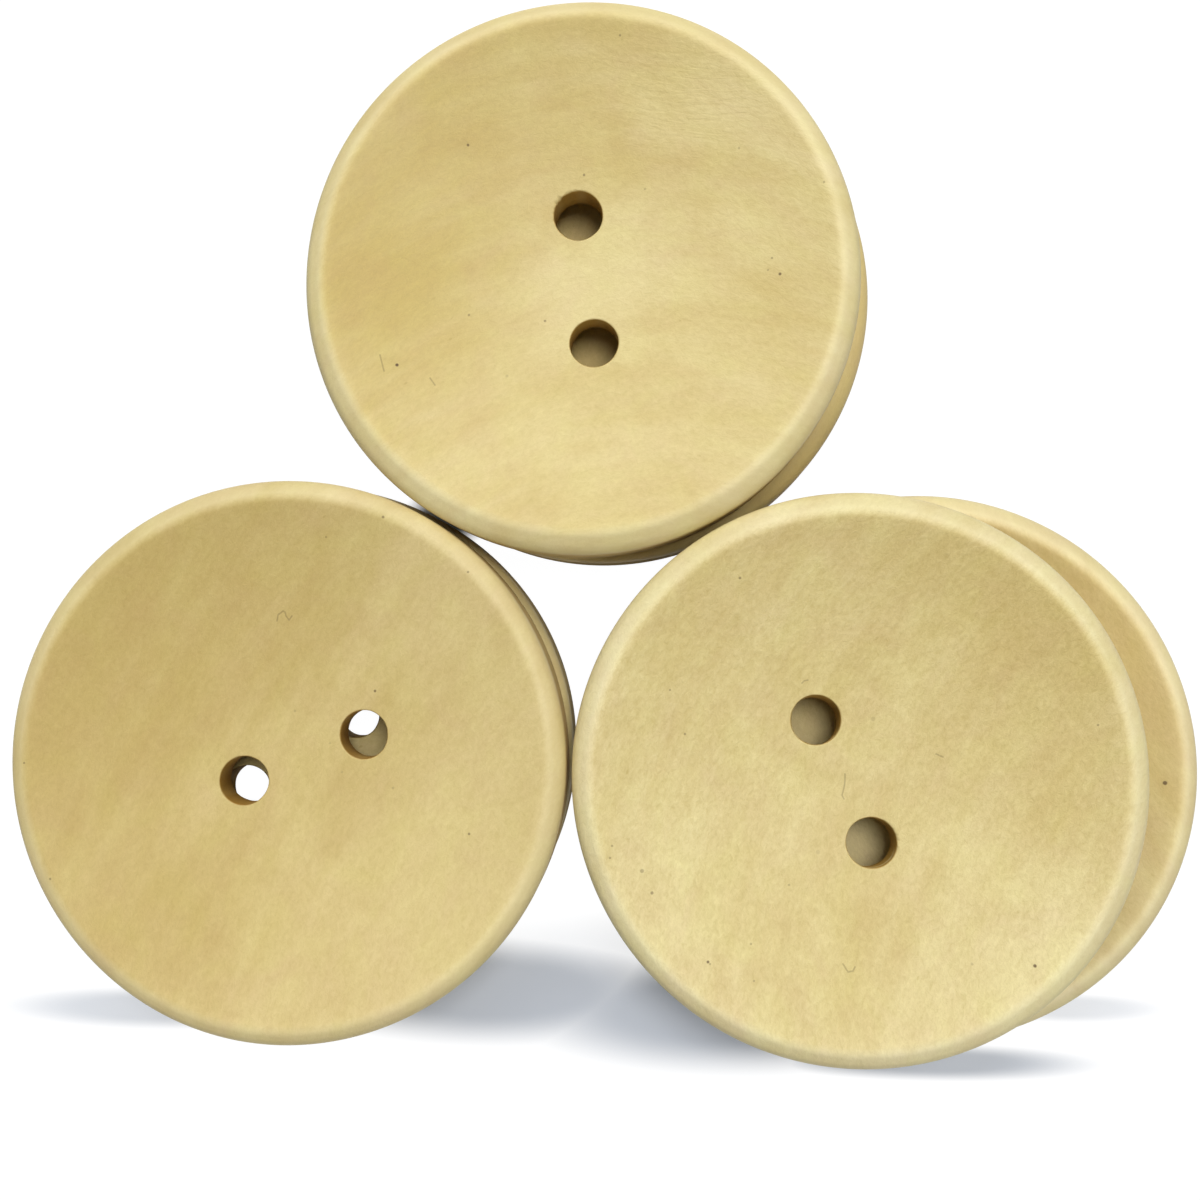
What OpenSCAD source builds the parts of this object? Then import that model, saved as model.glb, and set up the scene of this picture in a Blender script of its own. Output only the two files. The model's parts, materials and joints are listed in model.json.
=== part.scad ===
/* [Button] */
// Diameter across the rim
button_d = 50; // [30:1:70]
// Height of the rim's crest above the flat back
rim_h = 6; // [5:0.1:9]
// Thickness left at the middle of the dished face
centre_t = 2.7; // [1.5:0.1:4]
// Distance of the rim's crest from the outer edge
rim_w = 1.8; // [1.6:0.1:3.2]
// Radius of the rounded crest of the rim
crest_r = 1.5; // [0.8:0.1:1.8]
// Fall of the shoulder between the crest and the outer edge, in degrees
shoulder_slope = 25; // [15:1:40]
// Radius of the rounded edge between the shoulder and the side
rim_edge_r = 1.4; // [0.8:0.1:2]
// Radius of the rounded edge round the back
back_edge_r = 1; // [0.5:0.1:2.5]

/* [Thread holes] */
// Diameter of each thread hole
hole_d = 4.4; // [2:0.1:6]
// Distance between the centres of a button's two holes
hole_pitch = 11.8; // [8:0.1:16]
// Width of the eased edge at both mouths of a hole
hole_ease = 0.15; // [0.1:0.05:0.6]

/* [Layout] */
// Room between neighbouring upper buttons
stack_gap = 0.6; // [0.1:0.1:3]
// Turn of the triangle that the three pairs lie in, in degrees
layout_turn = -1.5; // [-30:0.5:30]

/* [Turns] */
// Turn of the left pair's upper button about its axis, in degrees
left_upper_turn = 21; // [0:1:180]
// Turn of the left pair's lower button about its axis, in degrees
left_lower_turn = 34; // [0:1:180]
// Turn of the right pair's upper button about its axis, in degrees
right_upper_turn = 114; // [0:1:180]
// Turn of the right pair's lower button about its axis, in degrees
right_lower_turn = 5; // [0:1:180]
// Turn of the back pair's upper button about its axis, in degrees
back_upper_turn = 97; // [0:1:180]
// Turn of the back pair's lower button about its axis, in degrees
back_lower_turn = 20; // [0:1:180]

/* [Hidden] */
$fn = 144;

// How far each lower button lies off the one on top of it, as shares of the diameter
left_slip_shares = [0.008, 0.008];
right_slip_shares = [0.133, 0.008];
back_slip_shares = [0.033, -0.005];

// How far each hole pair is drilled off the button's centre, along and across the pair's own line,
// and how much further apart than the pitch, as shares of the diameter
left_upper_drill_shares = [0.023, -0.008, 0];
left_lower_drill_shares = [-0.0253, 0.0074, 0.0188];
right_upper_drill_shares = [-0.001, 0.02, 0];
right_lower_drill_shares = [0.004, 0.006, 0];
back_upper_drill_shares = [0.005, -0.009, 0];
back_lower_drill_shares = [-0.005, 0.004, 0];

// Tangent stretches of the section overlap by this hair, so that they join without a sliver
lap_share = 0.0001;
lap = crest_r * lap_share;

// The crest of the rim is an arc about this point of the section
crest_at = [button_d / 2 - rim_w, rim_h - crest_r];

// The dish is a sphere that leaves centre_t in the middle and runs smoothly into the crest
crest_rise = crest_at.y - centre_t;
dish_r = (crest_at.x ^ 2 + crest_rise ^ 2 - crest_r ^ 2) / (2 * (crest_rise + crest_r));
dish_z = centre_t + dish_r;

// Direction from the crest's centre to where the crest meets the dish
dish_slope = asin(crest_at.x / (dish_r + crest_r));
to_dish = [-sin(dish_slope), cos(dish_slope)];

// The shoulder touches the crest's arc and the edge's arc, which rounds it into the side
to_shoulder = [sin(shoulder_slope), cos(shoulder_slope)];
edge_drop = ((rim_w - rim_edge_r) * to_shoulder.x + rim_edge_r - crest_r) / to_shoulder.y;
edge_at = [button_d / 2 - rim_edge_r, crest_at.y - edge_drop];
back_edge_at = [button_d / 2 - back_edge_r, back_edge_r];

// A ball whose centre is half a hole above a face takes hole_ease off the face and off the bore
ease_ball_r = norm([hole_d / 2, hole_d / 2 + hole_ease]);

// The pairs stand at the corners of an equal-sided triangle
side = button_d + stack_gap;
left_raw = [0, 0];
right_raw = side * [cos(layout_turn), sin(layout_turn)];
back_raw = side * [cos(layout_turn + 60), sin(layout_turn + 60)];
left_lower_raw = left_raw + button_d * left_slip_shares;
right_lower_raw = right_raw + button_d * right_slip_shares;
back_lower_raw = back_raw + button_d * back_slip_shares;

// The middle of the whole layout is the origin
raw_places = [left_raw, right_raw, back_raw, left_lower_raw, right_lower_raw, back_lower_raw];
raw_x = [for (place = raw_places) place.x];
raw_y = [for (place = raw_places) place.y];
middle = [min(raw_x) + max(raw_x), min(raw_y) + max(raw_y)] / 2;

// Half section of a button: flat back, rounded back edge, side, rounded edge, shoulder, crest, dish
module section() {
    inside = crest_at + rim_h * to_dish;
    difference() {
        polygon([
            [0, 0],
            [back_edge_at.x, 0],
            back_edge_at,
            [button_d / 2, back_edge_at.y],
            [button_d / 2, edge_at.y],
            edge_at,
            edge_at + (rim_edge_r - lap) * to_shoulder,
            crest_at + (crest_r - lap) * to_shoulder,
            crest_at,
            inside,
            [0, inside.y]
        ]);
        translate([0, dish_z]) circle(dish_r + lap);
    }
    translate(crest_at) circle(crest_r);
    translate(edge_at) circle(rim_edge_r);
    translate(back_edge_at) circle(back_edge_r);
}

// Bore of one thread hole, its edge eased by a ball on the dish and on the back
module thread_hole(place) {
    dish_at_hole = dish_z - sqrt(dish_r ^ 2 - norm(place) ^ 2);
    translate(place) {
        cylinder(h = 3 * rim_h, d = hole_d, center = true);
        translate([0, 0, dish_at_hole + hole_d / 2]) sphere(ease_ball_r);
        translate([0, 0, -hole_d / 2]) sphere(ease_ball_r);
    }
}

// One turned button, back down, at its place in the layout
module button(raw_place, layer, turn, drill_shares) {
    translate([raw_place.x - middle.x, raw_place.y - middle.y, layer * rim_h])
    rotate(turn)
    difference() {
        rotate_extrude() section();
        for (end = [-1, 1])
            thread_hole([
                end * (hole_pitch + button_d * drill_shares.z) / 2 + button_d * drill_shares.x,
                button_d * drill_shares.y
            ]);
    }
}

module left_upper_button() {
    color("#d2be81") button(left_raw, 1, left_upper_turn, left_upper_drill_shares);
}

module left_lower_button() {
    color("#c9b377") button(left_lower_raw, 0, left_lower_turn, left_lower_drill_shares);
}

module right_upper_button() {
    color("#ddca8f") button(right_raw, 1, right_upper_turn, right_upper_drill_shares);
}

module right_lower_button() {
    color("#ccb47a") button(right_lower_raw, 0, right_lower_turn, right_lower_drill_shares);
}

module back_upper_button() {
    color("#e1cf96") button(back_raw, 1, back_upper_turn, back_upper_drill_shares);
}

module back_lower_button() {
    color("#cdb87d") button(back_lower_raw, 0, back_lower_turn, back_lower_drill_shares);
}

left_upper_button();
left_lower_button();
right_upper_button();
right_lower_button();
back_upper_button();
back_lower_button();
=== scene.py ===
import json

import bmesh
import bpy
import numpy as np
from mathutils import Matrix, Vector


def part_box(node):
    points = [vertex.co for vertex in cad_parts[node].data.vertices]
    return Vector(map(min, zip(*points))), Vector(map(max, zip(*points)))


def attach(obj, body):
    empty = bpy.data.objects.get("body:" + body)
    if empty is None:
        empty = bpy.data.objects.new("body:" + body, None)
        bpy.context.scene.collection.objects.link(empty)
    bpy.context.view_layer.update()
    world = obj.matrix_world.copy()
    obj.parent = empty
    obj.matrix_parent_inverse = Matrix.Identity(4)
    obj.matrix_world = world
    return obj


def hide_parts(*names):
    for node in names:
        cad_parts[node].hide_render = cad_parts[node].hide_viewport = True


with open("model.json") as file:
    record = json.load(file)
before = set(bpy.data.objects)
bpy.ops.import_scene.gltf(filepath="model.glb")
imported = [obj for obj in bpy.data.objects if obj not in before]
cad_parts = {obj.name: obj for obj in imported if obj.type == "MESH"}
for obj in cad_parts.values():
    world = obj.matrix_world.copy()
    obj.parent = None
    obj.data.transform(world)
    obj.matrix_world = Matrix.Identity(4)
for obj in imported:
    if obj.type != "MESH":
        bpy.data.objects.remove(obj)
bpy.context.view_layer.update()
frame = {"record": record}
mm = 0.001

# Camera: hangs over the pairs and looks down, a little off plumb
cameraPlan = {
    "imageSize": 1200,            # pixels along each side of the photo
    "focalPixels": 1150,
    "plumbPixel": (660, 640),     # where straight down falls in the photo
    "standsOver": (4.88 * mm, -10.21 * mm),
    "height": 112.1 * mm,
    "sensor": 36.0,
}


def pixelRay(pixel):
    # direction through a photo pixel in the camera's own axes: right, up, backwards
    half = cameraPlan["imageSize"] / 2
    right = (pixel[0] - half) / cameraPlan["focalPixels"]
    up = (half - pixel[1]) / cameraPlan["focalPixels"]
    return Vector((right, up, -1.0))


def cameraTurn():
    # rows are the world's axes seen by the camera: up is against the plumb ray, X lies level
    worldUp = -pixelRay(cameraPlan["plumbPixel"]).normalized()
    worldRight = Vector((1, 0, 0)) - worldUp.x * worldUp
    worldRight.normalize()
    return Matrix((worldRight, worldUp.cross(worldRight), worldUp))


def photoPoint(pixel, height):
    # the camera's ray through a photo pixel, followed down to a level plane
    ray = cameraTurn() @ pixelRay(pixel)
    reach = (cameraPlan["height"] - height) / -ray.z
    over = cameraPlan["standsOver"]
    return np.array((over[0] + ray.x * reach, over[1] + ray.y * reach))


def makeCamera():
    data = bpy.data.cameras.new("photoCamera")
    data.sensor_width = cameraPlan["sensor"]
    data.lens = cameraPlan["sensor"] * cameraPlan["focalPixels"] / cameraPlan["imageSize"]
    data.clip_start = 1 * mm
    camera = bpy.data.objects.new("photoCamera", data)
    place = Vector((*cameraPlan["standsOver"], cameraPlan["height"]))
    camera.matrix_world = Matrix.Translation(place) @ cameraTurn().to_4x4()
    bpy.context.collection.objects.link(camera)
    bpy.context.scene.camera = camera


makeCamera()
print("camera is up")

# The turned form that all the buttons share
buttonForm = {
    "crestRadius": 1.5 * mm,      # rounded crest of the rim
    "shoulderSlope": 25,          # degrees that the shoulder falls from the crest to the edge
    "edgeRadius": 1.4 * mm,       # rounding between the shoulder and the side
    "middle": 2.7 * mm,           # wood left under the middle of the dish
    "backEdge": 1.0 * mm,         # rounded edge round the back
    "holeEase": 0.15 * mm,        # eased edge of the thread holes
    "plateShare": 0.46,           # radius of the plate that carries the holes, as a share of the whole
    "shrinkShare": 0.003,         # wood dries a little under its turned size
    "rimDip": 0.05 * mm,          # the crest isn't quite level
    "roundWaver": 0.0012,         # shares that the round, the eased mouths and the bores waver
    "mouthWaver": 0.22,
    "boreWaver": 0.006,
    "faceCrowd": 1.6,             # how the rows of the mesh crowd towards the holes, on the face and back
    "backCrowd": 1.4,
    "weldReach": 1e-4 * mm,       # points closer than this become one
    "arcSteps": 132,              # steps round half the plate
    "splitSteps": 60,             # steps along the line that parts the two halves
    "faceRows": 26,
    "easeRows": 6,
    "wallRows": 8,
    "backRows": 10,
    "dishRows": 30,
    "crestRows": 14,
    "shoulderRows": 4,
    "sideRows": 5,
}

# What sets one button apart from the next. Bearings are degrees from the right, counted upwards,
# pixels are the photo's. A patch is a pixel, a reach in mm and a strength, dark if over nought, a fleck
# is a pixel, a width in mm and a strength, a hair a line of pixels.
buttons = [
    {
        "node": "left_upper_button",
        "seed": 11,
        "rimWidth": 1.65 * mm,        # from the outer edge to the crest
        "crestOff": (0, 0.28 * mm),   # bearing and distance that the crest lies off-centre
        "oval": (0.003, 112),         # share and bearing of the long axis
        "bulge": (0.014, -8),         # share and bearing of a fuller side
        "drillLean": (0, 0),          # how far the drill came out off-centre at the back
        "grain": 62,                  # bearing of the fibres
        "bend": 0.004,                # how much they arch
        "pale": (0.712, 0.582, 0.270),
        "heart": (0.555, 0.420, 0.149),
        "heartSide": (150, 0.45),     # bearing and strength of the darker side
        "patches": [(430, 590, 11, -0.28), (440, 900, 12, -0.22), (170, 930, 11, 0.22), (280, 540, 13, 0.08)],
        "texture": 0.95,              # strength of the fine noises and the relief
        "crestWearAndHighlight": 0.42,            # how worn and pale the crest is, and how strong its painted highlight
        "sideShade": 0.65,            # how dark the painted groove shade is on the side's end grain
        "ripple": None,               # where the cutter lifted the fibres: pixel, reach in mm, bearing
        "chips": [],                  # torn mouths: hole, bearing, spread in degrees, depth in mm
        "flecks": [
            (383, 517, 0.16, 0.6), (468, 572, 0.14, 0.5), (375, 691, 0.16, 0.7), (469, 834, 0.15, 0.6),
            (24, 763, 0.13, 0.5), (50, 879, 0.14, 0.5), (326, 537, 0.12, 0.4), (295, 711, 0.16, 0.25),
            (330, 743, 0.14, 0.2), (393, 788, 0.15, 0.25), (342, 772, 0.16, 0.2),
        ],
        "hairs": [
            ((277, 621), (278, 615), (283, 611), (285, 612), (286, 616), (289, 620), (292, 616)),
        ],
    },
    {
        "node": "left_lower_button",
        "seed": 12,
        "rimWidth": 1.8 * mm,
        "crestOff": (0, 0),
        "oval": (0.004, 20),
        "bulge": (0, 0),
        "drillLean": (0, 0),
        "grain": 30,
        "bend": 0.006,
        "pale": (0.712, 0.582, 0.270),
        "heart": (0.555, 0.420, 0.149),
        "heartSide": (90, 0.1),
        # the pale patch under the holes is painted light that falls through them
        "patches": [(370, 760, 10, -0.4)],
        "texture": 1.0,
        "crestWearAndHighlight": 0.8,
        "sideShade": 0.4,
        "ripple": None,
        "chips": [],
        "flecks": [],
        "hairs": [],
    },
    {
        "node": "right_upper_button",
        "seed": 13,
        "rimWidth": 1.92 * mm,
        "crestOff": (180, 0.12 * mm),
        "oval": (0.002, 110),
        "bulge": (0, 0),
        "drillLean": (-0.05 * mm, -0.38 * mm),
        "grain": 64,
        "bend": 0.006,
        "pale": (0.770, 0.665, 0.343),
        "heart": (0.615, 0.487, 0.195),
        "heartSide": (70, 0.22),
        "patches": [
            (1040, 600, 12, 0.42), (1050, 790, 10, 0.22), (1030, 930, 12, -0.3), (840, 950, 11, 0.22),
            (690, 760, 10, 0.12),
        ],
        "texture": 1.5,
        "crestWearAndHighlight": 0.7,
        "sideShade": 0.65,
        "ripple": None,
        "chips": [(2, 5, 26, 0.26)],
        "flecks": [
            (740, 578, 0.15, 0.6), (685, 734, 0.14, 0.5), (642, 871, 0.22, 0.45), (652, 893, 0.18, 0.55),
            (670, 690, 0.13, 0.45),
            (1035, 966, 0.18, 0.85), (1098, 725, 0.13, 0.5), (708, 962, 0.16, 0.8), (710, 964, 0.12, 0.4),
            (612, 846, 0.13, 0.45), (610, 858, 0.13, 0.45), (751, 944, 0.13, 0.4), (754, 981, 0.13, 0.4),
            (873, 719, 0.26, 0.2), (818, 852, 0.26, 0.15), (789, 885, 0.14, 0.35), (972, 964, 0.16, 0.25),
        ],
        "hairs": [
            ((845, 774), (845, 781), (844, 788), (842, 795), (844, 799)),
            ((843, 964), (848, 972), (853, 971), (855, 967)),
            ((802, 683), (804, 681), (808, 680)),
            ((936, 754), (943, 757)),
        ],
    },
    {
        "node": "right_lower_button",
        "seed": 14,
        "rimWidth": 1.8 * mm,
        "crestOff": (0, 0),
        "oval": (0.002, 100),
        "bulge": (0, 0),
        "drillLean": (0, 0),
        "grain": 115,
        "bend": 0.004,
        "pale": (0.778, 0.661, 0.338),
        "heart": (0.576, 0.438, 0.170),
        "heartSide": (65, 0.32),
        # the pale patch under the holes is painted light that falls through them
        "patches": [(845, 800, 11, -0.6)],
        "texture": 1.0,
        "crestWearAndHighlight": 1.0,
        "sideShade": 0.4,
        "ripple": None,
        "chips": [],
        "flecks": [(1165, 783, 0.24, 0.85)],
        "hairs": [],
    },
    {
        "node": "back_upper_button",
        "seed": 15,
        "rimWidth": 1.97 * mm,
        "crestOff": (60, 0.15 * mm),
        "oval": (0.002, 70),
        "bulge": (0, 0),
        "drillLean": (0, 0),
        "grain": 9,
        "bend": 0.013,
        "pale": (0.744, 0.631, 0.311),
        "heart": (0.580, 0.443, 0.150),
        "heartSide": (160, 0.22),
        "patches": [
            (600, 280, 10, -0.36), (560, 470, 12, -0.14), (390, 290, 11, 0.34), (450, 130, 11, 0.06),
            (800, 320, 9, 0.18), (720, 120, 9, -0.16),
        ],
        "texture": 1.0,
        "crestWearAndHighlight": 0.7,
        "sideShade": 0.65,
        "ripple": ((690, 95), 8.0, -9),
        "chips": [(1, 140, 42, 0.42)],
        "flecks": [
            (468, 145, 0.16, 0.75), (584, 175, 0.15, 0.55), (620, 35, 0.13, 0.5), (772, 258, 0.14, 0.45),
            (768, 270, 0.13, 0.35), (780, 274, 0.17, 0.8), (397, 365, 0.19, 0.95), (469, 315, 0.15, 0.5),
            (545, 321, 0.15, 0.55), (739, 148, 0.14, 0.3), (645, 189, 0.14, 0.3), (824, 182, 0.14, 0.35),
            (507, 376, 0.18, 0.2),
        ],
        "hairs": [((380, 355), (382, 363), (384, 371)), ((430, 378), (435, 385))],
    },
    {
        "node": "back_lower_button",
        "seed": 16,
        "rimWidth": 1.8 * mm,
        "crestOff": (0, 0),
        "oval": (0.004, 100),
        "bulge": (0, 0),
        "drillLean": (0, 0),
        "grain": 70,
        "bend": 0.005,
        "pale": (0.729, 0.568, 0.220),
        "heart": (0.574, 0.433, 0.160),
        "heartSide": (0, 0.1),
        # the pale patch under the holes is painted light that falls through them
        "patches": [(585, 280, 11, -0.2)],
        "texture": 1.0,
        "crestWearAndHighlight": 0.8,
        "sideShade": 0.4,
        "ripple": None,
        "chips": [],
        "flecks": [],
        "hairs": [],
    },
]


def placeOf(node):
    # centre on its back, radius and height of a button, from its box in the frame
    low, high = (np.array(corner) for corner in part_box(node))
    centre = np.array((*(low + high)[:2] / 2, low[2]))
    return centre, (high - low)[:2].mean() / 2, high[2] - low[2]


def holesOf(node):
    # the two thread holes of a button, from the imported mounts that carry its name
    stem = node.replace("_button", "_hole_")
    found = [mount for mount in frame["record"]["mounts"] if mount["name"].startswith(stem)]
    radius = found[0]["dims"]["r_mm"] * mm
    return np.array([mount["pos_m"][:2] for mount in found]), radius


def turnedSection(rimWidth, radius, height):
    # centres of the crest's and the edge's arc, and the ball that the dish is a part of. The ball leaves
    # the middle's thickness and touches the crest: (x^2 + rise^2 - crest^2) / (2 (rise + crest))
    form = buttonForm
    crest, edge = form["crestRadius"], form["edgeRadius"]
    slope = np.radians(form["shoulderSlope"])
    crestAt = np.array((radius - rimWidth, height - crest))
    drop = ((rimWidth - edge) * np.sin(slope) + edge - crest) / np.cos(slope)
    edgeAt = np.array((radius - edge, crestAt[1] - drop))
    rise = crestAt[1] - form["middle"]
    ball = (crestAt[0] ** 2 + rise ** 2 - crest ** 2) / (2 * (rise + crest))
    return ball, crestAt, edgeAt


def dishHeight(reach, ball):
    # height of the dish over the back at a distance from the middle: a circle's lower side
    return buttonForm["middle"] + ball - np.sqrt(ball ** 2 - reach ** 2)


def ringWave(turns, angle, seed):
    # even mix of sine waves round a circle, one for each count of turns, phases from the seed
    phases = np.random.default_rng(seed).uniform(0, 2 * np.pi, len(turns))
    waves = np.sin(angle[..., None] * np.array(turns) + phases)
    return waves.sum(-1) / np.sqrt(len(turns))


def chippedEase(angle, chips, seed):
    # width of the eased mouth round a hole: the drill's slight waver, and torn stretches that fall off
    # like a bell round their bearing
    waver = buttonForm["mouthWaver"] * ringWave((2, 3, 5, 8, 13), angle, seed)
    ease = buttonForm["holeEase"] * (1 + waver)
    tear = np.clip(0.5 + 0.5 * ringWave((9, 14, 19, 27), angle, seed + 30), 0, None)
    for bearing, spread, depth in chips:
        gap = (np.degrees(angle) - bearing + 180) % 360 - 180
        ease = ease + depth * mm * np.exp(-(gap / spread) ** 2) * tear
    return ease


def halfPlate(side, hole, lean, holeRadius, plate, ball, chips, seed):
    # one half of the plate round one hole: rays run from the half disc's edge to the hole, turn over
    # the eased mouth, go down the wall, which leans on its way, and come back out along the flat back
    form = buttonForm
    arc = np.linspace(-np.pi / 2, np.pi / 2, form["arcSteps"] + 1)
    arc = arc if side > 0 else arc + np.pi
    bow = plate * np.stack((np.cos(arc), np.sin(arc)), -1)
    line = np.linspace(bow[-1], bow[0], form["splitSteps"] + 1)[1:-1]
    outline = np.concatenate((bow, line))
    away = outline - hole
    far = np.linalg.norm(away, axis=-1)
    away = away / far[:, None]
    angle = np.arctan2(away[:, 1], away[:, 0])
    ease = chippedEase(angle, chips, seed)
    backEase = chippedEase(angle, [], seed + 50)
    bore = holeRadius * (1 + form["boreWaver"] * ringWave((2, 4, 6), angle, seed + 70))
    steps = 1 - (1 - np.linspace(0, 1, form["faceRows"])) ** form["faceCrowd"]
    turn = np.linspace(0, np.pi / 2, form["easeRows"] + 1)[1:]
    down = np.linspace(0, 1, form["wallRows"] + 1)[1:-1]
    out = np.linspace(0, 1, form["backRows"]) ** form["backCrowd"]
    mouth = bore + ease
    faceReach = far[:, None] + (mouth - far)[:, None] * steps
    mouthReach = mouth[:, None] - ease[:, None] * np.sin(turn)
    wallReach = np.repeat(bore[:, None], len(down), 1)
    lipReach = bore[:, None] + backEase[:, None] * (1 - np.sin(turn[::-1]))
    backReach = bore[:, None] + backEase[:, None] + (far - bore - backEase)[:, None] * out
    reach = np.concatenate((faceReach, mouthReach, wallReach, lipReach, backReach), 1)
    leant = np.concatenate((np.zeros(len(steps) + len(turn)), down, np.ones(len(turn)), 1 - out))
    flat = hole + away[:, None, :] * reach[..., None] + lean * leant[:, None]
    faceZ = dishHeight(np.linalg.norm(flat[:, : len(steps)], axis=-1), ball)
    mouthZ = faceZ[:, -1:] - ease[:, None] * (1 - np.cos(turn))
    wallZ = mouthZ[:, -1:] + (backEase[:, None] - mouthZ[:, -1:]) * down
    lipZ = backEase[:, None] * (1 - np.cos(turn[::-1]))
    backZ = np.zeros_like(backReach)
    return np.dstack((flat, np.concatenate((faceZ, mouthZ, wallZ, lipZ, backZ), 1)))


def arcPoints(centre, radius, first, last, count):
    # points of an arc of the section, without its first
    angle = np.linspace(first, last, count)[1:]
    return centre + radius * np.stack((np.cos(angle), np.sin(angle)), -1)


def rimRing(radius, plate, ball, crestAt, edgeAt):
    # the turned section carried round the button: dish, crest, shoulder, edge, side, back edge, back
    form = buttonForm
    back = form["backEdge"]
    upright = np.pi / 2
    lean = np.arcsin(crestAt[0] / (ball + form["crestRadius"]))
    fall = upright - np.radians(form["shoulderSlope"])
    dishX = np.linspace(plate, ball * np.sin(lean), form["dishRows"])
    dish = np.stack((dishX, dishHeight(dishX, ball)), -1)
    crest = arcPoints(crestAt, form["crestRadius"], upright + lean, fall, form["crestRows"])
    edge = arcPoints(edgeAt, form["edgeRadius"], fall, 0, form["crestRows"])
    foot = edgeAt + form["edgeRadius"] * np.array((np.cos(fall), np.sin(fall)))
    shoulder = np.linspace(crest[-1], foot, form["shoulderRows"])[1:]
    side = np.linspace(edge[-1], (radius, back), form["sideRows"])[1:]
    under = arcPoints(np.array((radius - back, back)), back, 0, -upright, form["crestRows"])
    flat = np.linspace(under[-1], (plate, 0), form["dishRows"] // 2)[1:]
    section = np.concatenate((dish, crest, shoulder, edge, side, under, flat))
    angle = -upright + np.arange(2 * form["arcSteps"]) * np.pi / form["arcSteps"]
    ring = np.empty((len(angle), len(section), 3))
    ring[..., 0] = np.cos(angle)[:, None] * section[:, 0]
    ring[..., 1] = np.sin(angle)[:, None] * section[:, 0]
    ring[..., 2] = section[:, 1]
    return ring[::-1]


def gridFaces(rows, columns, start):
    # quads of a grid that closes on itself along its rows
    row = np.arange(rows)[:, None]
    column = np.arange(columns - 1)
    here = start + row * columns + column
    there = start + (row + 1) % rows * columns + column
    return np.stack((here, there, there + 1, here + 1), -1).reshape(-1, 4)


def driedOut(points, radius, height, spec):
    # wood moves as it dries: the round goes slightly oval and fuller on one side,
    # r (1 - shrink + oval cos 2a + bulge (1/2 + cos a / 2)^2), and the crest dips
    form = buttonForm
    share, bearing = spec["oval"]
    reach = np.hypot(points[:, 0], points[:, 1])
    angle = np.arctan2(points[:, 1], points[:, 0])
    swell = share * np.cos(2 * (angle - np.radians(bearing))) - form["shrinkShare"]
    bulge, bearing = spec["bulge"]
    swell = swell + bulge * (0.5 + 0.5 * np.cos(angle - np.radians(bearing))) ** 2
    swell = swell + form["roundWaver"] * ringWave((3, 4, 5), angle, spec["seed"])
    outward = np.clip(reach / radius, 0, 1) ** 2
    points[:, :2] *= (1 + swell * outward)[:, None]
    dip = form["rimDip"] * (0.5 + 0.5 * np.cos(2 * angle + spec["seed"]))
    lift = np.clip(points[:, 2] / height, 0, 1) ** 2 * outward
    points[:, 2] -= dip * lift
    # the face was turned a little off the side's centre: its shift grows from the holes to the crest and
    # is back at nought on the side
    bearing, off = spec["crestOff"]
    inner, crest = form["plateShare"] * radius, radius - spec["rimWidth"]
    share = np.interp(reach, (inner, crest, radius), (0, 1, 0)) * lift
    points[:, 0] += off * np.cos(np.radians(bearing)) * share
    points[:, 1] += off * np.sin(np.radians(bearing)) * share
    return points


# Where the finish changes on a button
finishMasks = {
    "wallSoft": 0.10 * mm,        # over which the wall of a hole fades into the face
    "leanBelow": 2 * mm,          # height under which a leaning drill widens the wall
    "wornHighlightAt": 0.12 * mm,          # middle of the worn line with its painted highlight, out from the crest
    "wornHighlightWidth": 0.5 * mm,
    "rimSoft": 0.8 * mm,          # over which the face turns into the rim
    "rimShare": 0.4,              # how far it has turned at the crest
    "sideDrop": 1.1 * mm,         # from the top down to where the painted groove shade on the side starts
    "sideSoft": 0.6 * mm,
    "backDepth": 0.1 * mm,        # wood this close to the back is raw
}


def addMasks(mesh, spec, centre, height, crestReach):
    # masks for the finish: the walls of the holes, for painted shade, a bell across the worn line of the
    # crest, with a painted highlight, all outside it, the side, for painted groove shade on its end grain,
    # raw wood
    form = finishMasks
    holes, holeRadius = holesOf(spec["node"])
    spots = np.empty(len(mesh.vertices) * 3)
    mesh.vertices.foreach_get("co", spots)
    spots = spots.reshape(-1, 3)
    toHole = np.linalg.norm(spots[:, None, :2] - holes, axis=-1).min(1)
    leanReach = np.linalg.norm(spec["drillLean"]) * (spots[:, 2] < centre[2] + form["leanBelow"])
    # the walls of the holes, which take painted shade
    wall = np.clip(1 - (toHole - holeRadius - leanReach) / form["wallSoft"], 0, 1)
    bearing, off = np.radians(spec["crestOff"][0]), spec["crestOff"][1]
    turnedAt = centre[:2] + off * np.array((np.cos(bearing), np.sin(bearing)))
    past = np.linalg.norm(spots[:, :2] - turnedAt, axis=-1) - crestReach
    face = spots[:, 2] > centre[2] + height / 2
    # the worn crest: paler wood and a painted highlight along it
    crest = np.exp(-((past - form["wornHighlightAt"]) / form["wornHighlightWidth"]) ** 2) * spec["crestWearAndHighlight"] * face
    outer = np.clip(past / form["rimSoft"] + form["rimShare"], 0, 1)
    sideTop = centre[2] + height - form["sideDrop"]
    low = np.clip((sideTop - spots[:, 2]) / form["sideSoft"], 0, 1) * (past > 0)
    raw = np.maximum(np.maximum(low, wall), spots[:, 2] < centre[2] + form["backDepth"])
    # painted shade of the grooves between the pairs, on the side's end grain
    low = low * spec["sideShade"]
    masks = {"holeWall": wall, "crestWornHighlight": crest, "outerBand": outer, "sideGrooveShade": low, "rawWood": raw}
    for name, values in masks.items():
        layer = mesh.attributes.new(name, "FLOAT", "POINT")
        layer.data.foreach_set("value", values.astype(np.float32))
    mesh.update()


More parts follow.
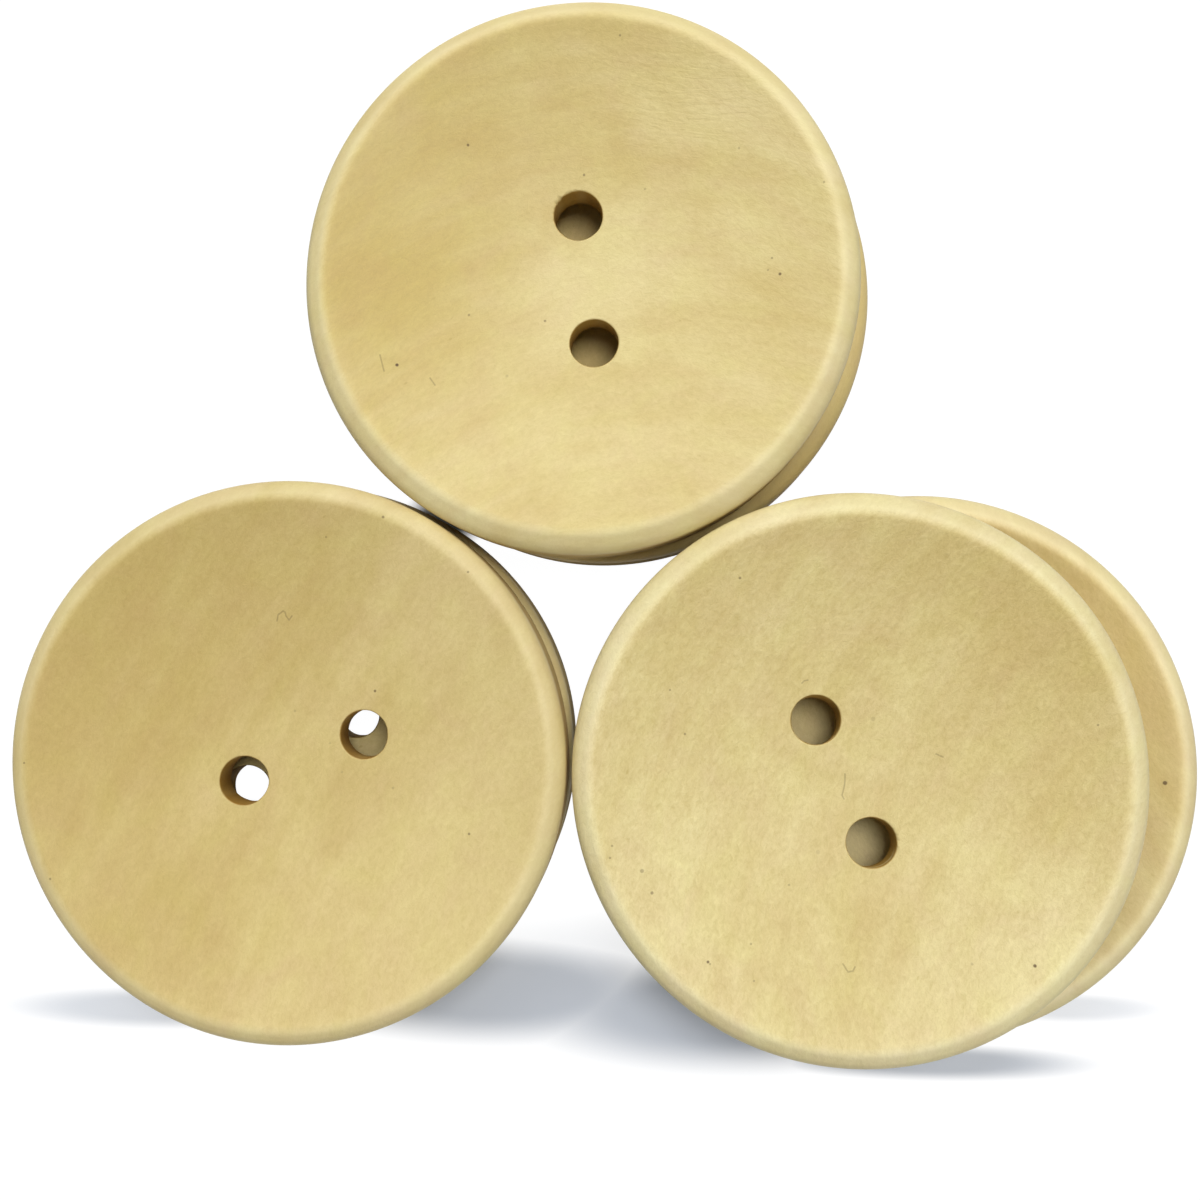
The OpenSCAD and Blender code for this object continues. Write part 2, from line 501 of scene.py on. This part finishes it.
def makeButton(spec):
    # two half plates round the holes and the ring of the rim, welded into one closed skin
    node = spec["node"]
    centre, radius, height = placeOf(node)
    holes, holeRadius = holesOf(node)
    along = holes[1] - holes[0]
    along = along / np.linalg.norm(along)
    axes = np.array((along, (-along[1], along[0])))
    local = (holes - centre[:2]) @ axes.T
    turn = np.degrees(np.arctan2(along[1], along[0]))
    plate = radius * buttonForm["plateShare"]
    ball, crestAt, edgeAt = turnedSection(spec["rimWidth"], radius, height)
    lean = axes @ spec["drillLean"]
    grids = []
    for count, (side, hole) in enumerate(zip((-1, 1), local)):
        chips = [(bearing - turn, *shape) for which, bearing, *shape in spec["chips"] if which == count + 1]
        grids.append(halfPlate(side, hole, lean, holeRadius, plate, ball, chips, spec["seed"] + count))
    grids.append(rimRing(radius, plate, ball, crestAt, edgeAt))
    starts = np.cumsum([0] + [grid.shape[0] * grid.shape[1] for grid in grids])
    faces = np.concatenate([gridFaces(*grid.shape[:2], start) for grid, start in zip(grids, starts)])
    points = np.concatenate([grid.reshape(-1, 3) for grid in grids])
    points[:, :2] = points[:, :2] @ axes
    points = driedOut(points, radius, height, spec) + centre

    mesh = bpy.data.meshes.new(node + "_wood")
    mesh.from_pydata(points, [], faces)
    shape = bmesh.new()
    shape.from_mesh(mesh)
    bmesh.ops.remove_doubles(shape, verts=shape.verts, dist=buttonForm["weldReach"])
    shape.to_mesh(mesh)
    shape.free()
    mesh.polygons.foreach_set("use_smooth", np.ones(len(mesh.polygons), bool))
    addMasks(mesh, spec, centre, height, crestAt[0])

    piece = bpy.data.objects.new(node + "_wood", mesh)
    bpy.context.collection.objects.link(piece)
    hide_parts(node)
    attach(piece, "root")
    return piece, centre, radius, height, ball


def put(tree, kind, feeds, **settings):
    # adds a node, sets it up and feeds its inputs with links or plain values
    made = tree.nodes.new(kind)
    for name, value in settings.items():
        setattr(made, name, value)
    for name, value in feeds.items():
        if isinstance(value, bpy.types.NodeSocket):
            tree.links.new(value, made.inputs[name])
        else:
            made.inputs[name].default_value = value
    return made


def mathNode(tree, operation, first, second=0.0, third=0.0, clamp=False):
    feeds = {0: first, 1: second, 2: third}
    return put(tree, "ShaderNodeMath", feeds, operation=operation, use_clamp=clamp).outputs[0]


def vectorNode(tree, operation, first, second=(0, 0, 0)):
    made = put(tree, "ShaderNodeVectorMath", {0: first, 1: second}, operation=operation)
    return made.outputs["Value"] if operation in ("DOT_PRODUCT", "LENGTH") else made.outputs["Vector"]


def scaleNode(tree, vector, factor):
    made = put(tree, "ShaderNodeVectorMath", {0: vector, "Scale": factor}, operation="SCALE")
    return made.outputs["Vector"]


def mixNode(tree, factor, first, second, blend="MIX"):
    made = put(tree, "ShaderNodeMix", {0: factor, 6: first, 7: second}, data_type="RGBA", blend_type=blend)
    return made.outputs[2]


def rangeNode(tree, value, low, high, toLow=0.0, toHigh=1.0):
    feeds = {"Value": value, "From Min": low, "From Max": high, "To Min": toLow, "To Max": toHigh}
    return put(tree, "ShaderNodeMapRange", feeds, interpolation_type="SMOOTHSTEP").outputs[0]


def attributeNode(tree, name):
    return put(tree, "ShaderNodeAttribute", {}, attribute_name=name).outputs["Fac"]


def newGroup(name, inputs, outputs):
    tree = bpy.data.node_groups.new(name, "ShaderNodeTree")
    for direction, sockets in (("INPUT", inputs), ("OUTPUT", outputs)):
        for label, kind in sockets.items():
            tree.interface.new_socket(name=label, in_out=direction, socket_type="NodeSocket" + kind)
    return tree, tree.nodes.new("NodeGroupInput"), tree.nodes.new("NodeGroupOutput")


def noiseNode(tree, vector, stretch, detail=2.0, roughness=0.5, distortion=0.0):
    # soft noise about nought, stretched by its counts per millimetre
    scaled = vectorNode(tree, "MULTIPLY", vector, stretch)
    feeds = {"Vector": scaled, "Scale": 1.0, "Detail": detail, "Roughness": roughness}
    feeds["Distortion"] = distortion
    return mathNode(tree, "SUBTRACT", put(tree, "ShaderNodeTexNoise", feeds).outputs["Fac"], 0.5)


# Grain of the wood; counts are per millimetre along, across and through the fibres
grainForm = {
    "noises": {                   # counts, detail, roughness and distortion
        "Bands": ((0.03, 0.16, 0.16), 2.0, 0.5, 0.4),
        "Streaks": ((0.05, 0.45, 0.45), 2.0, 0.55, 0.3),
        "Blotch": ((0.12, 0.15, 0.15), 2.0, 0.5, 0.8),
        "Mottle": ((0.40, 0.55, 0.55), 1.0, 0.5, 0.6),
        "Felt": ((1.5, 2.3, 2.3), 3.0, 0.8, 0.4),
        "Blush": ((0.22, 0.26, 0.26), 2.0, 0.5, 0.6),
    },
    "blushShift": (41, 17, 5),    # keeps the blush clear of the blotches
    "poreCounts": (0.24, 0.42, 0.42),
    "poreEdge": (0.02, 0.07),     # a pore fades out between these shares of its cell
    "poreSizes": (0.45, 1.0),     # cells under the first have none
}


def fibreGrainGroup():
    # close-grained pale wood in millimetres, fibres along x; the fibres arch by y + bend x^2
    form = grainForm
    outputs = {name: "Float" for name in (*form["noises"], "Pores")}
    tree, start, end = newGroup("fibreGrain", {"Vector": "Vector", "Bend": "Float"}, outputs)
    parts = put(tree, "ShaderNodeSeparateXYZ", {0: start.outputs["Vector"]})
    square = mathNode(tree, "MULTIPLY", parts.outputs[0], parts.outputs[0])
    across = mathNode(tree, "MULTIPLY_ADD", square, start.outputs["Bend"], parts.outputs[1])
    laid = put(tree, "ShaderNodeCombineXYZ", {0: parts.outputs[0], 1: across, 2: parts.outputs[2]}).outputs[0]
    elsewhere = vectorNode(tree, "ADD", laid, form["blushShift"])
    grit = vectorNode(tree, "MULTIPLY", laid, form["poreCounts"])
    cells = put(tree, "ShaderNodeTexVoronoi", {"Vector": grit, "Scale": 1.0})
    size = put(tree, "ShaderNodeSeparateColor", {0: cells.outputs["Color"]}).outputs[0]
    hole = rangeNode(tree, cells.outputs["Distance"], *form["poreEdge"], 1.0, 0.0)
    feeds = {"Pores": mathNode(tree, "MULTIPLY", hole, rangeNode(tree, size, *form["poreSizes"]))}
    for name, noise in form["noises"].items():
        feeds[name] = noiseNode(tree, elsewhere if name == "Blush" else laid, *noise)
    for name, socket in feeds.items():
        tree.links.new(socket, end.inputs[name])
    return tree


def softPatchGroup():
    # a ragged soft patch: 1 at its centre, 0 a reach away, the distance stirred by a noise
    tree, start, end = newGroup(
        "softPatch", {"Vector": "Vector", "Centre": "Vector", "Reach": "Float", "Stir": "Float"},
        {"Patch": "Float"},
    )
    level = vectorNode(tree, "MULTIPLY", start.outputs["Vector"], (1, 1, 0))
    gap = vectorNode(tree, "LENGTH", vectorNode(tree, "SUBTRACT", level, start.outputs["Centre"]))
    share = mathNode(tree, "DIVIDE", gap, start.outputs["Reach"])
    share = mathNode(tree, "ADD", share, start.outputs["Stir"])
    tree.links.new(rangeNode(tree, share, 0.0, 1.0, 1.0, 0.0), end.inputs["Patch"])
    return tree


def darkMarkGroup():
    # a short dark mark: 1 within half a width of the line between two points, 0 a width off
    tree, start, end = newGroup(
        "darkMark", {"Vector": "Vector", "From": "Vector", "To": "Vector", "Width": "Float"},
        {"Mark": "Float"},
    )
    level = vectorNode(tree, "MULTIPLY", start.outputs["Vector"], (1, 1, 0))
    offset = vectorNode(tree, "SUBTRACT", level, start.outputs["From"])
    line = vectorNode(tree, "SUBTRACT", start.outputs["To"], start.outputs["From"])
    along = vectorNode(tree, "DOT_PRODUCT", offset, line)
    span = mathNode(tree, "MAXIMUM", vectorNode(tree, "DOT_PRODUCT", line, line), 1e-6)
    share = mathNode(tree, "DIVIDE", along, span, clamp=True)
    gap = vectorNode(tree, "LENGTH", vectorNode(tree, "SUBTRACT", offset, scaleNode(tree, line, share)))
    half = mathNode(tree, "MULTIPLY", start.outputs["Width"], 0.5)
    tree.links.new(rangeNode(tree, gap, half, start.outputs["Width"], 1.0, 0.0), end.inputs["Mark"])
    return tree


# Patch of lifted fibres; counts as in the grain
rippleForm = {
    "stretch": (0.6, 1, 0),       # the patch is longer along its ridges
    "frayCounts": (0.35, 0.5, 0.5),
    "fray": 7.0,                  # how far its edge is frayed, in mm
    "ridges": ((0.30, 1.8, 1.8), 1.5, 0.5, 0.9),  # counts, detail, roughness and distortion
    "ridgeRange": (-0.14, 0.16),  # values of the noise between a valley and a ridge
}


def tornRippleGroup():
    # a patch where the cutter lifted the fibres: ridges across y - bend x^2, fading out round a centre
    form = rippleForm
    tree, start, end = newGroup(
        "tornRipple", {"Vector": "Vector", "Centre": "Vector", "Bearing": "Float", "Bend": "Float",
                       "Reach": "Float"},
        {"Ridge": "Float"},
    )
    offset = vectorNode(tree, "SUBTRACT", start.outputs["Vector"], start.outputs["Centre"])
    feeds = {"Vector": offset, "Angle": start.outputs["Bearing"]}
    turned = put(tree, "ShaderNodeVectorRotate", feeds, rotation_type="Z_AXIS", invert=True).outputs[0]
    parts = put(tree, "ShaderNodeSeparateXYZ", {0: turned})
    square = mathNode(tree, "MULTIPLY", parts.outputs[0], parts.outputs[0])
    drop = mathNode(tree, "MULTIPLY", square, start.outputs["Bend"])
    across = mathNode(tree, "SUBTRACT", parts.outputs[1], drop)
    bent = put(tree, "ShaderNodeCombineXYZ", {0: parts.outputs[0], 1: across}).outputs[0]
    flat = vectorNode(tree, "MULTIPLY", bent, form["stretch"])
    fray = noiseNode(tree, bent, form["frayCounts"])
    gap = mathNode(tree, "MULTIPLY_ADD", fray, form["fray"], vectorNode(tree, "LENGTH", flat))
    patch = rangeNode(tree, gap, 0.0, start.outputs["Reach"], 1.0, 0.0)
    ridge = rangeNode(tree, noiseNode(tree, bent, *form["ridges"]), *form["ridgeRange"])
    tree.links.new(mathNode(tree, "MULTIPLY", ridge, patch), end.inputs["Ridge"])
    return tree


groups = {
    "fibreGrain": fibreGrainGroup(),
    "softPatch": softPatchGroup(),
    "darkMark": darkMarkGroup(),
    "tornRipple": tornRippleGroup(),
}
print("finish groups are built")

# Finish that all the buttons share; tones multiply the wood's own colour
woodFinish = {
    "hair": (0.09, 0.36),         # width in mm and strength
    "fleckColour": (0.085, 0.045, 0.014, 1),
    # painted shade deep in the thread holes
    "wallTone": (0.50, 0.345, 0.12),
    # the crest is worn pale and carries a painted highlight
    "crestTone": (1.20, 1.24, 1.38),
    "outerTone": (1.04, 1.075, 1.20),
    # painted shade on the sides, where the pairs meet, on darker end grain
    "sideTone": (0.62, 0.48, 0.30),
    "blush": (-0.06, -0.16, -0.01),  # how far the pinkish and greenish patches move each colour
    "bands": 0.5,                 # how far each noise moves the colour between pale and heart
    "streaks": 0.45,
    "blotch": 0.5,
    "mottle": 0.10,               # how far the fine noises lighten and darken
    "felt": 0.40,
    "fineTone": (0.85, 1.0, 1.55),  # they move the blue most, so the darks turn golden
    "rimCalm": 0.5,               # share of the fine noises that the turned rim has lost
    "rimPale": 0.95,              # share of the heartwood's lean that it has lost
    "rimBleach": 0.12,            # how far it is bleached towards pale
    "patchStir": 0.6,             # how ragged the patches of heartwood are
    "pores": 0.16,                # how dark the pores are
    "roughness": (0.46, 0.6),     # at the dark and the light end of the felt
    "feltRange": (-0.2, 0.2),
    "rawRoughness": 0.9,          # on the sides, the backs and in the holes
    "grainRelief": 0.042 * mm,
    "mottleRelief": 0.5,          # share of the mottling in it
    "rippleRelief": 0.018 * mm,
    "rippleBend": 0.0143,         # ridges bend like rings of 35 mm radius
    "fibreDip": (0.02, 0.03),     # radians that the fibres dip out of the face
    "seedStep": 37.0,             # the grain of each button comes from another depth of the noise
    "mirrorIndex": 1.4,           # index of refraction of the bare wood
}


def onFace(pixel, place):
    # a photo pixel carried onto a button's dish, in millimetres from its centre
    centre, radius, height, ball = place
    level = centre[2] + buttonForm["middle"]
    for _ in range(4):
        spot = photoPoint(pixel, level) - centre[:2]
        reach = np.linalg.norm(spot)
        level = centre[2] + min(dishHeight(min(reach, radius), ball), height)
    return (*(spot / mm), 0)


def groupNode(tree, name, feeds):
    return put(tree, "ShaderNodeGroup", feeds, node_tree=groups[name]).outputs


def darkMarks(tree, square, spec, place):
    # flecks and hairs of a button, the strongest at each spot
    lines = [(pixel, pixel, width, strength) for *pixel, width, strength in spec["flecks"]]
    for hair in spec["hairs"]:
        lines += [(first, last, *woodFinish["hair"]) for first, last in zip(hair, hair[1:])]
    marks = None
    for first, last, width, strength in lines:
        feeds = {"Vector": square, "From": onFace(first, place), "To": onFace(last, place), "Width": width}
        mark = mathNode(tree, "MULTIPLY", groupNode(tree, "darkMark", feeds)["Mark"], strength)
        marks = mark if marks is None else mathNode(tree, "MAXIMUM", marks, mark)
    return marks


def woodColour(tree, square, grain, spec, place):
    finish = woodFinish
    # heartwood on one side and in patches, less so on the rim, then bands, streaks and blotches move the
    # colour between pale and heart
    bearing, strength = spec["heartSide"]
    lean = strength * mm / place[1] * np.array((np.cos(np.radians(bearing)), np.sin(np.radians(bearing)), 0))
    tone = vectorNode(tree, "DOT_PRODUCT", square, lean)
    stir = mathNode(tree, "MULTIPLY", grain["Blotch"], finish["patchStir"])
    # on a lower button a pale patch is painted light falling through the holes above
    for *pixel, reach, strength in spec["patches"]:
        feeds = {"Vector": square, "Centre": onFace(pixel, place), "Reach": reach, "Stir": stir}
        tone = mathNode(tree, "MULTIPLY_ADD", groupNode(tree, "softPatch", feeds)["Patch"], strength, tone)
    rim = attributeNode(tree, "outerBand")
    kept = mathNode(tree, "MULTIPLY_ADD", rim, -finish["rimPale"], 1.0)
    tone = mathNode(tree, "MULTIPLY_ADD", tone, kept, 0.5)
    tone = mathNode(tree, "MULTIPLY_ADD", rim, -finish["rimBleach"], tone)
    for name in ("Bands", "Streaks", "Blotch"):
        tone = mathNode(tree, "MULTIPLY_ADD", grain[name], finish[name.lower()], tone)
    tone = rangeNode(tree, tone, 0.0, 1.0)
    colour = mixNode(tree, tone, (*spec["pale"], 1), (*spec["heart"], 1))
    # pinkish and greenish patches, then fine light and dark: mottling, felted fibres, dark pores
    blush = scaleNode(tree, finish["blush"], grain["Blush"])
    colour = vectorNode(tree, "MULTIPLY", colour, vectorNode(tree, "ADD", blush, (1, 1, 1)))
    fine = mathNode(tree, "MULTIPLY", grain["Mottle"], finish["mottle"] * spec["texture"])
    fine = mathNode(tree, "MULTIPLY_ADD", grain["Felt"], finish["felt"] * spec["texture"], fine)
    calm = mathNode(tree, "MULTIPLY_ADD", rim, -finish["rimCalm"], 1.0)
    pores = mathNode(tree, "MULTIPLY", grain["Pores"], -finish["pores"])
    fine = mathNode(tree, "MULTIPLY_ADD", fine, calm, pores)
    light = vectorNode(tree, "ADD", scaleNode(tree, finish["fineTone"], fine), (1, 1, 1))
    colour = vectorNode(tree, "MULTIPLY", colour, light)
    # paler rim, worn crest with a painted highlight, painted shade on the sides and in the holes
    tones = {
        "outerBand": "outerTone", "crestWornHighlight": "crestTone", "sideGrooveShade": "sideTone", "holeWall": "wallTone",
    }
    for mask, name in tones.items():
        toned = vectorNode(tree, "MULTIPLY", colour, finish[name])
        colour = mixNode(tree, attributeNode(tree, mask), colour, toned)
    marks = darkMarks(tree, square, spec, place)
    return colour if marks is None else mixNode(tree, marks, colour, finish["fleckColour"])


def makeWood(spec, place):
    finish = woodFinish
    material = bpy.data.materials.new(spec["node"] + "_pale_wood")
    material.use_nodes = True
    tree = material.node_tree
    tree.nodes.clear()
    where = put(tree, "ShaderNodeTexCoord", {}).outputs["Object"]
    # millimetres from the button's centre, square to the room and turned to the grain
    feeds = {"Vector": where, "Location": tuple(place[0]), "Scale": (mm, mm, mm)}
    square = put(tree, "ShaderNodeMapping", feeds, vector_type="TEXTURE").outputs[0]
    bearing = np.radians(spec["grain"])
    feeds = {"Vector": square, "Rotation": (*finish["fibreDip"], bearing)}
    turned = put(tree, "ShaderNodeMapping", feeds, vector_type="TEXTURE").outputs[0]
    depth = finish["seedStep"] * spec["seed"]
    shifted = vectorNode(tree, "ADD", turned, (0, 0, depth))
    grain = groupNode(tree, "fibreGrain", {"Vector": shifted, "Bend": spec["bend"]})
    colour = woodColour(tree, square, grain, spec, place)

    rough = rangeNode(tree, grain["Felt"], *finish["feltRange"], *finish["roughness"])
    raw = mathNode(tree, "MULTIPLY", attributeNode(tree, "rawWood"), finish["rawRoughness"])
    rough = mathNode(tree, "MAXIMUM", rough, raw)
    relief = mathNode(tree, "MULTIPLY_ADD", grain["Mottle"], finish["mottleRelief"], grain["Felt"])
    feeds = {"Height": relief, "Distance": finish["grainRelief"] * spec["texture"], "Strength": 1.0}
    bump = put(tree, "ShaderNodeBump", feeds)
    if spec["ripple"]:
        pixel, reach, lie = spec["ripple"]
        feeds = {"Vector": square, "Centre": onFace(pixel, place), "Bearing": np.radians(lie), "Reach": reach}
        ridge = groupNode(tree, "tornRipple", {**feeds, "Bend": finish["rippleBend"]})["Ridge"]
        feeds = {"Height": ridge, "Distance": finish["rippleRelief"], "Strength": 1.0}
        feeds["Normal"] = bump.outputs[0]
        bump = put(tree, "ShaderNodeBump", feeds)
    feeds = {"Base Color": colour, "Roughness": rough, "Normal": bump.outputs[0]}
    feeds["IOR"] = finish["mirrorIndex"]
    shader = put(tree, "ShaderNodeBsdfPrincipled", feeds)
    out = put(tree, "ShaderNodeOutputMaterial", {})
    tree.links.new(shader.outputs[0], out.inputs[0])
    return material


for spec in buttons:
    piece, *place = makeButton(spec)
    piece.data.materials.append(makeWood(spec, place))
    print(spec["node"], "has", len(piece.data.polygons), "faces")

# Plain pale floor, a window behind the top of the picture, a soft lamp overhead and a fill from the front
studio = {
    "floorHalf": 1.5,
    "floorWhite": 1.1,                 # what the camera sees of the floor out of the shadow
    "paintedShadowTone": (0.70, 0.76, 0.87),   # darker and bluer than white in the pools: painted shadow
    "outsidePools": 0.10,              # how far the floor takes shadow elsewhere
    "poolCore": 0.35,                  # share of a pool that is at full strength
    # pools of shadow in front of the pairs and where they meet: pixel of the photo, half length and half
    # depth in pixels, strength
    "pools": [
        (490, 990, 260, 66, 1.0), (720, 1012, 260, 74, 1.0), (600, 985, 230, 100, 0.3),
        (150, 1008, 195, 26, 0.7), (930, 1062, 200, 22, 0.95), (1070, 1008, 120, 18, 0.5),
        (446, 518, 52, 40, 1.0), (700, 524, 52, 40, 1.0),
    ],
    "windowPlace": (-0.10, 1.20, 0.86),
    "windowSize": (2.4, 0.75),
    "windowLevel": 0.50,               # light on a level face, 1 shows a colour as it is written
    "windowTone": (1.0, 0.985, 0.95),
    "lampPlace": (0.086, 0.104, 0.50),
    "lampSize": (0.225, 0.225),
    "lampLevel": 0.405,
    "lampTone": (1.0, 0.97, 0.92),
    "fillPlace": (0.40, -1.00, 0.62),
    "fillSize": (0.9, 0.6),
    "fillLevel": 0.14,
    "fillTone": (1.0, 0.985, 0.96),
    "skyTone": (0.92, 0.96, 1.0, 1),
    "skyLevel": 0.10,
}


def cameraSees(tree):
    # 1 for rays from the camera, mirrors and glass, 0 for the rays that light the object
    path = put(tree, "ShaderNodeLightPath", {})
    seen = mathNode(tree, "MAXIMUM", path.outputs["Is Camera Ray"], path.outputs["Is Glossy Ray"])
    return mathNode(tree, "MAXIMUM", seen, path.outputs["Is Transmission Ray"])


def makeFloor():
    half = studio["floorHalf"]
    mesh = bpy.data.meshes.new("paleFloor")
    corners = [(-half, -half, 0), (half, -half, 0), (half, half, 0), (-half, half, 0)]
    mesh.from_pydata(corners, [], [(0, 1, 2, 3)])
    floor = bpy.data.objects.new("paleFloor", mesh)
    bpy.context.collection.objects.link(floor)
    material = bpy.data.materials.new("pale_floor")
    material.use_nodes = True
    tree = material.node_tree
    tree.nodes.clear()
    # soft pools in front take the cast shadow on a darker, bluer floor colour, a painted shadow, and a glow
    # makes the rest of the floor up to white
    where = put(tree, "ShaderNodeTexCoord", {}).outputs["Object"]
    share = studio["outsidePools"]
    pixelWidth = cameraPlan["height"] / cameraPlan["focalPixels"]
    for x, y, length, depth, strength in studio["pools"]:
        feeds = {"Vector": where, "Location": (*photoPoint((x, y), 0), 0)}
        feeds["Scale"] = (length * pixelWidth, depth * pixelWidth, 1)
        inPool = put(tree, "ShaderNodeMapping", feeds, vector_type="TEXTURE").outputs[0]
        pool = rangeNode(tree, vectorNode(tree, "LENGTH", inPool), studio["poolCore"], 1.0, strength, 0.0)
        share = mathNode(tree, "MAXIMUM", share, pool)
    tone = scaleNode(tree, studio["paintedShadowTone"], share)
    matte = put(tree, "ShaderNodeBsdfDiffuse", {"Color": tone})
    rest = mathNode(tree, "MULTIPLY_ADD", share, -studio["floorWhite"], studio["floorWhite"])
    seen = mathNode(tree, "MULTIPLY", rest, cameraSees(tree))
    glow = put(tree, "ShaderNodeEmission", {"Color": (1, 1, 1, 1), "Strength": seen})
    both = put(tree, "ShaderNodeAddShader", {0: matte.outputs[0], 1: glow.outputs[0]})
    out = put(tree, "ShaderNodeOutputMaterial", {})
    tree.links.new(both.outputs[0], out.inputs[0])
    mesh.materials.append(material)


def makeLight(name):
    # a soft lamp that looks at the pairs; power = level pi^2 distance^2 / sine of its height
    data = bpy.data.lights.new(name + "Light", "AREA")
    data.shape = "ELLIPSE"
    data.size, data.size_y = studio[name + "Size"]
    data.color = studio[name + "Tone"]
    place = Vector(studio[name + "Place"])
    data.energy = studio[name + "Level"] * np.pi ** 2 * place.length ** 3 / place.z
    light = bpy.data.objects.new(name + "Light", data)
    light.matrix_world = Matrix.Translation(place) @ (-place).to_track_quat("-Z", "Y").to_matrix().to_4x4()
    bpy.context.collection.objects.link(light)


def makeSky():
    world = bpy.data.worlds.new("paleRoom")
    world.use_nodes = True
    bpy.context.scene.world = world
    tree = world.node_tree
    tree.nodes.clear()
    sky = put(tree, "ShaderNodeBackground", {"Color": studio["skyTone"], "Strength": studio["skyLevel"]})
    white = put(tree, "ShaderNodeBackground", {"Color": (1, 1, 1, 1), "Strength": 1.0})
    feeds = {0: cameraSees(tree), 1: sky.outputs[0], 2: white.outputs[0]}
    both = put(tree, "ShaderNodeMixShader", feeds)
    out = put(tree, "ShaderNodeOutputWorld", {})
    tree.links.new(both.outputs[0], out.inputs[0])


makeFloor()
makeLight("window")
makeLight("lamp")
makeLight("fill")
makeSky()
bpy.context.scene.view_settings.view_transform = "Standard"
print("floor and light are set")
